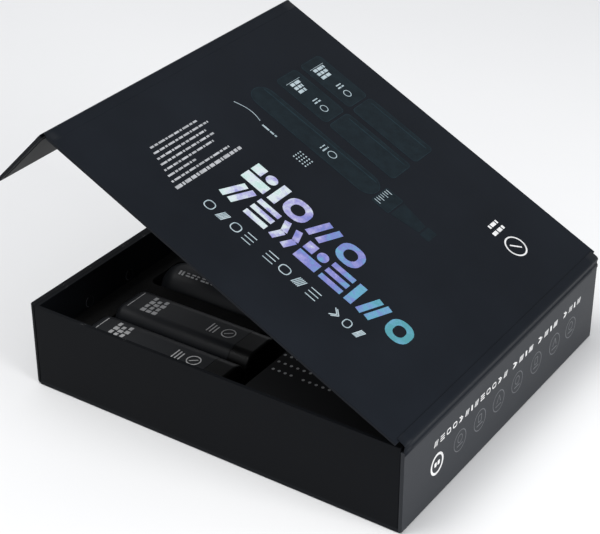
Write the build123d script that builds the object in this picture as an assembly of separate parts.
from build123d import *
import math
import os

# A home skin-needling kit in a rigid book-style presentation box, in millimetres.
# The origin is the middle of the base's underside. +Z is up, +X runs from the flap end to the spine,
# and +Y runs from the open side to the back. The lid stands part open, as it does at joint value zero.

# ---- box ----
LENGTH = 280.0
WIDTH = 253.0
RIM_Z = 60.0
BOARD = 2.5
PANEL = 4.0
PANEL_ROUND = 3.4
GLUE_GAP = 0.2
TRAY_WALL = 2.5
TRAY_FLOOR = 2.0
SPINE_TOP_Z = 57.6

LEFT = -LENGTH / 2
RIGHT = LENGTH / 2
FRONT = -WIDTH / 2
BACK = WIDTH / 2

TRAY_LEFT = LEFT + PANEL + GLUE_GAP
TRAY_RIGHT = RIGHT - BOARD - GLUE_GAP
INNER_LEFT = TRAY_LEFT + TRAY_WALL
INNER_RIGHT = TRAY_RIGHT - TRAY_WALL
INNER_FRONT = FRONT + TRAY_WALL
INNER_BACK = BACK - TRAY_WALL
FLOOR_Z = BOARD + TRAY_FLOOR

# ---- lid and magnetic flap ----
LID_OPEN = 26.8
FLAP_FOLD = 72.8
LID_BOARD = 2.2
LINER = 0.5
LID_LENGTH = 282.0
LID_OVERHANG = 3.0
LID_WIDTH = WIDTH + 2 * LID_OVERHANG
CREASE = 4.2
CREASE_RADIUS = 1.1
FLAP_CREASE = 2.6
FLAP_LENGTH = 59.4
HINGE_X = RIGHT - 1.0
HINGE_Z = 61.3
LID_SKIN = 0.4
LINER_MARGIN = 6.0
LID_LOW = RIM_Z + 0.4 + LINER
LID_HIGH = LID_LOW + LID_BOARD
LID_MIDDLE = (LID_LOW + LID_HIGH) / 2

# ---- magnets ----
MAGNET_RADIUS = 4.0
MAGNET_THICK = 1.5
MAGNET_Y = (-76.0, -34.0, 34.0, 76.0)
MAGNET_Z = 38.5

# ---- foam insert ----
FOAM_GAP = 0.3
LOWER_TOP = 34.0
UPPER_TOP = 41.2
CARD = 0.8
DECK_TOP = UPPER_TOP + CARD
STEP_X = LEFT + 121.5
WELL_GAP = 0.8

# ---- airless bottles ----
BOTTLE_X = LEFT + 27.0
BOTTLE_LENGTH = 94.0
BOTTLE_WIDE = 36.0
BOTTLE_TALL = 37.0
BOTTLE_CORNER = 10.0
BOTTLE_WALL = 2.0
BOTTLE_Y = (FRONT + 28.5, FRONT + 66.0)
BOTTLE_FLOOR_GAP = 0.2
SHOULDER = 2.0
BOSS = 3.0
NECK_RADIUS = 10.0
NECK_LENGTH = 3.0
CAP_LENGTH = 15.0
CAP_WALL = 1.6
CAP_PULL = 15.5
PRESS = 2.0

# ---- needling pen ----
PEN_X = LEFT + 20.0
PEN_Y = FRONT + 116.0
PEN_RADIUS = 17.0
PEN_Z = 26.4
PEN_WALL = 2.0
DOME_LENGTH = 16.0
REAR_LENGTH = 84.0
RING_LENGTH = 14.0
NOSE_LENGTH = 26.0
NOSE_RADIUS = 11.0
RUN_GAP = 0.3
NEEDLE_COUNT = 12
CAP_REACH = 16.7
TIP_PULL = 20.0
DOME_END = DOME_LENGTH
REAR_END = DOME_END + REAR_LENGTH
RING_END = REAR_END + RING_LENGTH
NOSE_END = RING_END + NOSE_LENGTH
BORE_RADIUS = PEN_RADIUS - PEN_WALL

# ---- inside the pen, along its axis from its rear end ----
BUTTON_X = DOME_END + 72.0
BUTTON_RADIUS = 4.5
KEY_TOP = PEN_RADIUS + 0.8
KEY_TALL = 4.4
CELL_X = DOME_END + 8.0
CELL_END = CELL_X + 35.0
MOTOR_X = CELL_END + 4.0
MOTOR_LENGTH = 21.0
MOTOR_END = MOTOR_X + MOTOR_LENGTH
BOARD_Z = 9.3
BOARD_THICK = 1.1

# ---- slant-faced cam, drive rod and cartridge ----
CAM_X = MOTOR_END + 2.5
CAM_BODY = 3.5
CAM_TILT = 10.0
CAM_REST = -45.0
CAM_RADIUS = 7.5
PEG_OFFSET = 5.5
PEG_RADIUS = 1.0
STROKE = 2 * PEG_OFFSET * math.tan(math.radians(CAM_TILT))
PEG_X = CAM_X + CAM_BODY + (PEG_OFFSET + PEG_RADIUS) * math.tan(math.radians(CAM_TILT)) + 0.1
ROD_X = PEG_X + STROKE + 0.3
WEB_X = REAR_END + 6.0
CARTRIDGE_X = RING_END + 8.0
TAIL_X = CARTRIDGE_X + 2.0
NEEDLE_X = NOSE_END + 4.0

# ---- cartridge blister pack and guide ----
PACK_X = (LEFT + 180.0, LEFT + 262.0)
PACK_Y = (FRONT + 150.0, FRONT + 240.0)
PACK_COUNT = 3
BLISTER_SKIN = 0.5
FOIL = 0.4
PACK_FLOOR = LOWER_TOP + 0.2
BAY_X = (PACK_X[0] + 16.0, PACK_X[1] - 16.0)
BAY_TOP = PACK_FLOOR + FOIL + 23.5
BAY_HALF = 12.2
GUIDE_X = (LEFT + 22.0, LEFT + 116.0)
GUIDE_Y = (FRONT + 144.0, FRONT + 242.0)
GUIDE_COVER = 0.4
GUIDE_PAGES = 2.4


def save(shape, name):
    """Write one named piece."""
    export_step(shape, f"parts/{name}.step")


def block(x, y, z):
    """A box from three (low, high) pairs."""
    size = (x[1] - x[0], y[1] - y[0], z[1] - z[0])
    middle = ((x[0] + x[1]) / 2, (y[0] + y[1]) / 2, (z[0] + z[1]) / 2)
    return Pos(*middle) * Box(*size)


def rod(x, length, radius, hole=0.0):
    """A cylinder or tube along +X from x, on the X axis."""
    solid = Pos(x + length / 2, 0, 0) * Rot(0, 90, 0) * Cylinder(radius, length)
    if hole:
        solid -= Pos(x + length / 2, 0, 0) * Rot(0, 90, 0) * Cylinder(hole, length + 2)
    return solid


def cone(x, length, start, end):
    """A truncated cone along +X from x, on the X axis."""
    return Pos(x + length / 2, 0, 0) * Rot(0, 90, 0) * Cone(start, end, length)


def soft_bar(x, length, wide, tall, corner):
    """A bar along +X from x with a rounded-rectangle section, centred on the X axis."""
    across = Plane(origin=(x, 0, 0), x_dir=(0, 1, 0), z_dir=(1, 0, 0))
    return extrude(across * RectangleRounded(wide, tall, corner), amount=length)


def outer_edges(shape, axis, side):
    """The edges of the flat face at the far end of a shape."""
    return shape.faces().sort_by(axis)[side].edges()


# ---- box ----
def base_board():
    return block((LEFT + PANEL + GLUE_GAP, RIGHT - BOARD - GLUE_GAP), (FRONT, BACK), (0, BOARD))


def spine_board():
    spine = block((RIGHT - BOARD, RIGHT), (FRONT, BACK), (0, SPINE_TOP_Z))
    return fillet(spine.edges().filter_by(Axis.Y).group_by(Axis.Z)[0].sort_by(Axis.X)[-1:], 1.2)


def flap_end_panel():
    panel = block((LEFT, LEFT + PANEL), (FRONT, BACK), (0, RIM_Z))
    panel = fillet(panel.edges().filter_by(Axis.Z).group_by(Axis.X)[0], PANEL_ROUND)
    return fillet(outer_edges(panel, Axis.Z, 0).group_by(Axis.X)[0], 1.5)


def tray_shell():
    outer = block((TRAY_LEFT, TRAY_RIGHT), (FRONT, BACK), (BOARD, RIM_Z))
    inner = block((INNER_LEFT, INNER_RIGHT), (INNER_FRONT, INNER_BACK), (FLOOR_Z, RIM_Z + 1))
    shell = fillet(outer.edges().filter_by(Axis.Z), 0.8) - inner
    for y in MAGNET_Y:
        shell -= magnet(TRAY_LEFT - 0.01, y, MAGNET_RADIUS + 0.1, MAGNET_THICK + 0.11)
    return shell


def magnet(x, y, radius, thick):
    return Pos(0, y, MAGNET_Z) * rod(x, thick, radius)


def wall_magnets():
    return [magnet(TRAY_LEFT + 0.05, y, MAGNET_RADIUS, MAGNET_THICK) for y in MAGNET_Y]


# ---- foam insert ----
def bottle_well(top):
    end = STEP_X + CAP_LENGTH + CAP_PULL + WELL_GAP
    low = BOTTLE_Y[0] - BOTTLE_WIDE / 2 - WELL_GAP
    high = BOTTLE_Y[1] + BOTTLE_WIDE / 2 + WELL_GAP
    well = block((BOTTLE_X - WELL_GAP, end), (low, high), (0, top))
    return fillet(well.edges().filter_by(Axis.Z), 2.0)


def pen_well(top, floor):
    end = PEN_X + NOSE_END + CAP_REACH + TIP_PULL + 2.0
    half = PEN_RADIUS + WELL_GAP
    well = block((PEN_X - WELL_GAP, end), (PEN_Y - half, PEN_Y + half), (floor, top))
    return fillet(well.edges().filter_by(Axis.Z), 6.0)


def pack_well(top):
    x = (PACK_X[0] - WELL_GAP, PACK_X[1] + WELL_GAP)
    y = (PACK_Y[0] - WELL_GAP, PACK_Y[1] + WELL_GAP)
    return fillet(block(x, y, (LOWER_TOP, top)).edges().filter_by(Axis.Z), 3.0)


def foam_layer(start_x, low, high, wells):
    x = (start_x, INNER_RIGHT - FOAM_GAP)
    layer = block(x, (INNER_FRONT + FOAM_GAP, INNER_BACK - FOAM_GAP), (low, high))
    for well in wells:
        layer -= well
    return layer


def lower_foam():
    wells = (bottle_well(80), pen_well(80, PEN_Z - PEN_RADIUS - 0.2))
    return foam_layer(INNER_LEFT + FOAM_GAP, FLOOR_Z, LOWER_TOP, wells)


def upper_foam():
    return foam_layer(STEP_X, LOWER_TOP, UPPER_TOP, (bottle_well(80), pen_well(80, 0), pack_well(80)))


def deck_card():
    return foam_layer(STEP_X, UPPER_TOP, DECK_TOP, (bottle_well(80), pen_well(80, 0), pack_well(80)))


# ---- lid: drawn closed and flat, then turned about its crease ----
def lid_block(start, end, width, low, high):
    """A board in the closed lid's plane, measured from the hinge line towards the flap end."""
    x = (HINGE_X - end, HINGE_X - start)
    return block(x, (-width / 2, width / 2), (low, high))


def swing_lid(shape):
    """Turn a piece of the closed lid about the hinge line to the part-open rest pose."""
    return Pos(HINGE_X, 0, HINGE_Z) * Rot(0, LID_OPEN, 0) * Pos(-HINGE_X, 0, -HINGE_Z) * shape


def swing_flap(shape):
    """Fold a piece drawn flat beyond the lid's far edge about the flap line, then turn it with the lid."""
    line = (HINGE_X - LID_LENGTH, 0, LID_MIDDLE)
    back = (-line[0], 0, -line[2])
    return swing_lid(Pos(*line) * Rot(0, -FLAP_FOLD, 0) * Pos(*back) * shape)


def lid_board():
    board = lid_block(CREASE, LID_LENGTH - FLAP_CREASE, LID_WIDTH, LID_LOW, LID_HIGH)
    return swing_lid(fillet(board.edges(), LID_SKIN))


def lid_liner():
    start = CREASE + LINER_MARGIN
    end = LID_LENGTH - FLAP_CREASE - LINER_MARGIN
    return swing_lid(lid_block(start, end, LID_WIDTH - 2 * LINER_MARGIN, LID_LOW - LINER, LID_LOW))


def lid_crease():
    return Pos(HINGE_X, 0, HINGE_Z) * Rot(90, 0, 0) * Cylinder(CREASE_RADIUS, WIDTH)


def flap_crease():
    line = Pos(HINGE_X - LID_LENGTH, 0, LID_MIDDLE) * Rot(90, 0, 0) * Cylinder(CREASE_RADIUS, LID_WIDTH)
    return swing_lid(line)


def flap_board():
    start = LID_LENGTH + FLAP_CREASE
    board = lid_block(start, LID_LENGTH + FLAP_LENGTH, LID_WIDTH, LID_LOW, LID_HIGH)
    board = fillet(board.edges(), LID_SKIN)
    for y in MAGNET_Y:
        board -= flap_disc(y, MAGNET_RADIUS + 0.1, MAGNET_THICK + 0.1)
    return swing_flap(board)


def flap_disc(y, radius, thick):
    reach = HINGE_Z - MAGNET_Z
    middle = (HINGE_X - LID_LENGTH - reach, y, LID_LOW + thick / 2)
    return Pos(*middle) * Cylinder(radius, thick)


def flap_discs():
    return [swing_flap(flap_disc(y, MAGNET_RADIUS, MAGNET_THICK - 0.05)) for y in MAGNET_Y]


def flap_liner():
    start = LID_LENGTH + FLAP_CREASE + LINER_MARGIN / 2
    end = LID_LENGTH + FLAP_LENGTH - LINER_MARGIN / 2
    return swing_flap(lid_block(start, end, LID_WIDTH - LINER_MARGIN, LID_LOW - LINER, LID_LOW))


# ---- airless bottle, drawn along the X axis and then laid in its place ----
def lay_bottle(shape, y):
    return Pos(0, y, FLOOR_Z + BOTTLE_FLOOR_GAP + BOTTLE_TALL / 2) * shape


def bottle_section(x, length, inset, corner):
    return soft_bar(x, length, BOTTLE_WIDE - 2 * inset, BOTTLE_TALL - 2 * inset, corner)


def bottle_body():
    outer = bottle_section(BOTTLE_X, BOTTLE_LENGTH - SHOULDER, 0, BOTTLE_CORNER)
    outer = fillet(outer_edges(outer, Axis.X, 0), 6.0)
    corner = BOTTLE_CORNER - BOTTLE_WALL
    inner = bottle_section(BOTTLE_X + BOTTLE_WALL + 1, BOTTLE_LENGTH, BOTTLE_WALL, corner)
    vent = rod(BOTTLE_X - 1, BOTTLE_WALL + 3, 1.5)
    return outer - inner - vent


def bottle_piston():
    start = BOTTLE_X + 14.0
    plate = bottle_section(start, 7.0, BOTTLE_WALL + 0.3, BOTTLE_CORNER - BOTTLE_WALL - 0.3)
    cup = bottle_section(start - 1, 5.0, BOTTLE_WALL + 2.0, BOTTLE_CORNER - BOTTLE_WALL - 2.0)
    return plate - cup


def bottle_shoulder():
    """The plate that closes the body, with the boss that holds the cap and the neck on it."""
    flange_x = BOTTLE_X + BOTTLE_LENGTH - SHOULDER
    shoulder_x = flange_x + SHOULDER
    piece = bottle_section(flange_x, SHOULDER, 0, BOTTLE_CORNER)
    piece += bottle_section(flange_x - 4.0, 4.0, BOTTLE_WALL + 0.05, BOTTLE_CORNER - BOTTLE_WALL - 0.05)
    piece += bottle_section(shoulder_x, BOSS, CAP_WALL + 0.25, BOTTLE_CORNER - CAP_WALL - 0.25)
    piece += rod(shoulder_x + BOSS, NECK_LENGTH, NECK_RADIUS)
    return piece - rod(flange_x - 5, 20, 6.5)


def bottle_pump():
    """The metering chamber that hangs in the neck."""
    neck_top = BOTTLE_X + BOTTLE_LENGTH + BOSS + NECK_LENGTH
    piece = rod(neck_top - 20, 20, 6.3, 5.0) + rod(neck_top, 1.0, 8.5, 3.2)
    return piece + rod(neck_top - 22, 2, 6.3, 1.2)


def bottle_actuator():
    """The press button with its stem, which slides in the pump."""
    neck_top = BOTTLE_X + BOTTLE_LENGTH + BOSS + NECK_LENGTH
    head = rod(neck_top + 1.0 + PRESS + 0.2, 3.6, 9.0)
    head = fillet(outer_edges(head, Axis.X, -1), 1.2)
    stem = rod(neck_top - 12.0, 12.0 + 1.0 + PRESS + 0.4, 3.1)
    nozzle = Pos(0, 0, 6.0) * rod(neck_top + 4.0, 4.0, 1.6)
    return head + stem - rod(neck_top - 13.0, 16.0, 1.0) - nozzle


def bottle_cap():
    start = BOTTLE_X + BOTTLE_LENGTH + 0.3
    cap = bottle_section(start, CAP_LENGTH, 0, BOTTLE_CORNER)
    cap = fillet(outer_edges(cap, Axis.X, -1), 1.5)
    return cap - bottle_section(start - 1, CAP_LENGTH - CAP_WALL + 1, CAP_WALL, BOTTLE_CORNER - CAP_WALL)


# ---- needling pen, drawn along the X axis from its rear end and then laid in its place ----
def lay_pen(shape):
    return Pos(PEN_X, PEN_Y, PEN_Z) * shape


def dome(length, radius):
    """A quarter ellipse turned about the X axis: the pen's rounded rear end."""
    corner = Pos(length / 2, radius / 2) * Rectangle(length, radius)
    return revolve(Pos(length, 0) * Ellipse(length, radius) & corner, axis=Axis.X)


def pen_end_cap():
    shell = dome(DOME_LENGTH, PEN_RADIUS)
    hollow = Pos(PEN_WALL, 0, 0) * dome(DOME_LENGTH - PEN_WALL, BORE_RADIUS)
    spigot = rod(DOME_LENGTH - 1.5, 1.5, BORE_RADIUS + 0.3, BORE_RADIUS - 1.6)
    spigot += rod(DOME_LENGTH, 4.0, BORE_RADIUS - 0.05, BORE_RADIUS - 1.6)
    socket = Pos(-2, 0, 0) * block((0, 12), (-4.6, 4.6), (-1.9, 1.9))
    return shell - hollow + spigot - socket


def pen_charge_socket():
    """The charging inlet behind the slot in the end cap."""
    shell = block((1.5, 8.5), (-4.4, 4.4), (-1.7, 1.7)) - block((0.5, 7.5), (-3.9, 3.9), (-1.2, 1.2))
    tongue = block((2.5, 7.6), (-3.2, 3.2), (-0.35, 0.35))
    return shell + tongue


def pen_rear_shell():
    shell = rod(DOME_END, REAR_LENGTH, PEN_RADIUS, BORE_RADIUS)
    seat = Pos(BUTTON_X, 0, PEN_RADIUS) * Cylinder(BUTTON_RADIUS + 0.3, 12)
    lens = Pos(BUTTON_X - 12, 0, PEN_RADIUS) * Box(5.2, 2.4, 12)
    return shell - seat - lens


def pen_power_button():
    """A round key that slides in the shell, with a flange beneath that keeps it in."""
    key = Pos(BUTTON_X, 0, KEY_TOP - KEY_TALL / 2) * Cylinder(BUTTON_RADIUS, KEY_TALL)
    key = fillet(outer_edges(key, Axis.Z, -1), 0.5)
    return key + Pos(BUTTON_X, 0, KEY_TOP - KEY_TALL - 0.6) * Cylinder(BUTTON_RADIUS + 1.1, 1.2)


def pen_power_lens():
    return Pos(BUTTON_X - 12, 0, BORE_RADIUS + 0.4) * Box(5.0, 2.2, 3.0)


def pen_chassis():
    """The inner cradle: a half trough whose ribs carry the cell and the motor, with a wall between them."""
    trough = rod(DOME_END + 5, REAR_LENGTH - 8, BORE_RADIUS - 0.1, BORE_RADIUS - 2.0)
    cell_ribs = ((CELL_X + 3, 9.05), (CELL_X + 28, 9.05))
    motor_ribs = ((CELL_END + 1, 4.0), (MOTOR_X + 3, 8.05), (MOTOR_X + 15, 8.05))
    for x, seat in cell_ribs + motor_ribs:
        trough += rod(x, 2.0, BORE_RADIUS - 1.0, seat)
    return trough - block((0, NOSE_END), (-PEN_RADIUS, PEN_RADIUS), (-3.0, PEN_RADIUS))


def pen_cell():
    return rod(CELL_X, 34.0, 9.0) + rod(CELL_X + 34.0, 0.8, 3.0)


def pen_circuit_board():
    top = BOARD_Z + BOARD_THICK
    board = block((CELL_X, BUTTON_X + 3.5), (-8.0, 8.0), (BOARD_Z, top))
    for x in (CELL_X + 8, CELL_X + 20, CELL_X + 34):
        board += block((x, x + 5), (-3, 3), (top, top + 0.8))
    return board + Pos(BUTTON_X, 0, top + 0.5) * Box(6.0, 6.0, 1.0)


def pen_motor():
    can = rod(MOTOR_X, MOTOR_LENGTH, 8.0) + rod(MOTOR_END, 1.5, 3.0)
    return can - rod(MOTOR_X + 4, 60, 1.05)


def pen_swash_cam():
    """The motor shaft with its slant-faced cam: one turn pushes the rod's peg out and lets it back."""
    shaft = rod(MOTOR_X + 5, CAM_X - MOTOR_X - 5, 1.0)
    cam = rod(CAM_X, 10.0, CAM_RADIUS)
    cut = Pos(CAM_X + CAM_BODY, 0, 0) * Rot(0, CAM_TILT, 0) * Pos(10, 0, 0) * Box(20, 40, 40)
    return shaft + cam - Rot(CAM_REST, 0, 0) * cut


def pen_drive_rod():
    """The plunger, drawn fully forward: its off-centre peg rides on the cam and its collar on the spring."""
    head = rod(ROD_X, 2.0, 7.0)
    stem = rod(ROD_X + 2.0, TAIL_X - 0.3 - ROD_X - 2.0, 2.0)
    peg = Pos(0, 0, -PEG_OFFSET) * rod(PEG_X, ROD_X - PEG_X + 0.5, PEG_RADIUS)
    return head + stem + peg


def pen_return_spring():
    """A compression coil around the drive rod."""
    wire_radius = 0.35
    start = ROD_X + 2.0 + 2 * wire_radius
    path = Helix(pitch=2.2, height=WEB_X - start - 2 * wire_radius, radius=4.2)
    wire = Plane(origin=path @ 0, z_dir=path % 0) * Circle(wire_radius)
    return Pos(start, 0, 0) * Rot(0, 90, 0) * sweep(wire, path=path)


def pen_rod_guide():
    """The bush that closes the barrel's front and guides the drive rod; the depth ring turns on it."""
    plug = rod(REAR_END - 3.0, 3.0, BORE_RADIUS - 0.05, 8.0)
    barrel = rod(REAR_END, RING_END + 6.0 - REAR_END, 11.0, 8.0)
    return plug + barrel + rod(WEB_X, 2.0, 9.0, 2.05)


def pen_depth_ring():
    """The knurled collar that sets the needle depth, with a flat for each marked step."""
    ring = rod(REAR_END + RUN_GAP, RING_LENGTH - 2 * RUN_GAP, PEN_RADIUS - 0.2, 11.05)
    for step in range(24):
        groove = Pos(REAR_END + RING_LENGTH / 2 + 2.5, 0, PEN_RADIUS) * Box(6.0, 1.0, 1.4)
        ring -= Rot(step * 15.0, 0, 0) * groove
    return ring


def pen_nose():
    """The tapered grip in front of the depth ring, bored for the cartridge."""
    outer = cone(RING_END, NOSE_LENGTH, PEN_RADIUS - 0.6, NOSE_RADIUS)
    return outer - rod(RING_END - 1, 8.0, 11.05) - rod(RING_END - 1, NOSE_LENGTH + 2, 8.6)


def cartridge_body():
    """The throw-away tip: a tube that plugs into the nose and flares to the needle window."""
    plug = rod(CARTRIDGE_X, NOSE_END - CARTRIDGE_X + 0.4, 8.5, 5.0)
    collar = rod(NOSE_END + 0.4, 3.0, 10.6, 5.0)
    window = cone(NOSE_END + 3.4, 8.0, 8.0, 6.6) - rod(NOSE_END + 2, 12, 5.0)
    return plug + collar + window


def needle_plate():
    """The plate that the drive rod pushes, with its ring of needles."""
    plate = rod(NEEDLE_X, 2.0, 4.6)
    tail = rod(TAIL_X, NEEDLE_X - TAIL_X, 1.8)
    needles = [
        Pos(0, 3.2 * math.cos(a), 3.2 * math.sin(a)) * cone(NEEDLE_X + 2.0, 6.0, 0.3, 0.06)
        for a in (2 * math.pi * k / NEEDLE_COUNT for k in range(NEEDLE_COUNT))
    ]
    piece = plate + tail
    for needle in needles:
        piece += needle
    return piece


def cartridge_cap():
    start = NOSE_END + 3.7
    length = NOSE_END + CAP_REACH - start
    cap = fillet(outer_edges(rod(start, length, 10.4), Axis.X, -1), 2.5)
    return cap - rod(start - 1, length - 0.4, 8.4)


# ---- blister pack of spare cartridges ----
def blister_bays():
    """The middle of each dome, across the pack."""
    pitch = (PACK_Y[1] - PACK_Y[0] - 6.0) / PACK_COUNT
    return [PACK_Y[0] + 3.0 + pitch * (k + 0.5) for k in range(PACK_COUNT)]


def bay(inset, y):
    half = BAY_HALF - inset
    x = (BAY_X[0] + inset, BAY_X[1] - inset)
    shape = block(x, (y - half, y + half), (PACK_FLOOR + FOIL, BAY_TOP - inset))
    return fillet(outer_edges(shape, Axis.Z, -1) + shape.edges().filter_by(Axis.Z), 4.0 - inset)


def blister_shell():
    sheet = block(PACK_X, PACK_Y, (PACK_FLOOR + FOIL, PACK_FLOOR + FOIL + BLISTER_SKIN))
    sheet = fillet(sheet.edges().filter_by(Axis.Z), 4.0)
    for y in blister_bays():
        sheet += bay(0, y)
    for y in blister_bays():
        sheet -= bay(BLISTER_SKIN, y)
    return sheet


def blister_foil():
    sheet = block(PACK_X, PACK_Y, (PACK_FLOOR, PACK_FLOOR + FOIL))
    return fillet(sheet.edges().filter_by(Axis.Z), 4.0)


def spare(shape, y):
    """Lay a piece of a cartridge, drawn on the pen's axis, in one of the blister's bays."""
    x = (BAY_X[0] + BAY_X[1]) / 2 - (CARTRIDGE_X + NOSE_END + 11.4) / 2
    return Pos(x, y, PACK_FLOOR + FOIL + 11.0) * shape


# ---- printed guide ----
def guide_cover():
    sheet = block(GUIDE_X, GUIDE_Y, (LOWER_TOP + 0.1, LOWER_TOP + 0.1 + 2 * GUIDE_COVER + GUIDE_PAGES))
    slot = (LOWER_TOP + 0.1 + GUIDE_COVER, LOWER_TOP + 0.1 + GUIDE_COVER + GUIDE_PAGES)
    return sheet - block((GUIDE_X[0] + GUIDE_COVER, GUIDE_X[1] + 1), (GUIDE_Y[0] - 1, GUIDE_Y[1] + 1), slot)


def guide_pages():
    z = (LOWER_TOP + 0.1 + GUIDE_COVER, LOWER_TOP + 0.1 + GUIDE_COVER + GUIDE_PAGES)
    return block((GUIDE_X[0] + GUIDE_COVER, GUIDE_X[1] - 0.6), (GUIDE_Y[0] + 0.5, GUIDE_Y[1] - 0.5), z)


def main():
    os.makedirs("parts", exist_ok=True)
    box = (base_board, spine_board, flap_end_panel, tray_shell, lower_foam, upper_foam, deck_card)
    lid = (lid_board, lid_liner, lid_crease, flap_crease, flap_board, flap_liner)
    pack = (blister_shell, blister_foil, guide_cover, guide_pages)
    for make in box + lid + pack:
        save(make(), make.__name__)
    save(Compound(wall_magnets()), "wall_magnets")
    save(Compound(flap_discs()), "flap_discs")

    bottle = (bottle_body, bottle_piston, bottle_shoulder, bottle_pump, bottle_actuator, bottle_cap)
    for make in bottle:
        shape = make()
        for owner, y in zip(("serum", "cleanser"), BOTTLE_Y):
            save(lay_bottle(shape, y), f"{owner}_{make.__name__}")

    pen = (
        pen_end_cap, pen_charge_socket, pen_rear_shell, pen_power_button, pen_power_lens, pen_chassis,
        pen_cell, pen_circuit_board, pen_motor, pen_swash_cam, pen_drive_rod, pen_return_spring,
        pen_rod_guide, pen_depth_ring, pen_nose, cartridge_body, needle_plate, cartridge_cap,
    )
    for make in pen:
        save(lay_pen(make()), make.__name__)
    for make in (cartridge_body, needle_plate):
        save(Compound([spare(make(), y) for y in blister_bays()]), f"spare_{make.__name__}_set")


main()
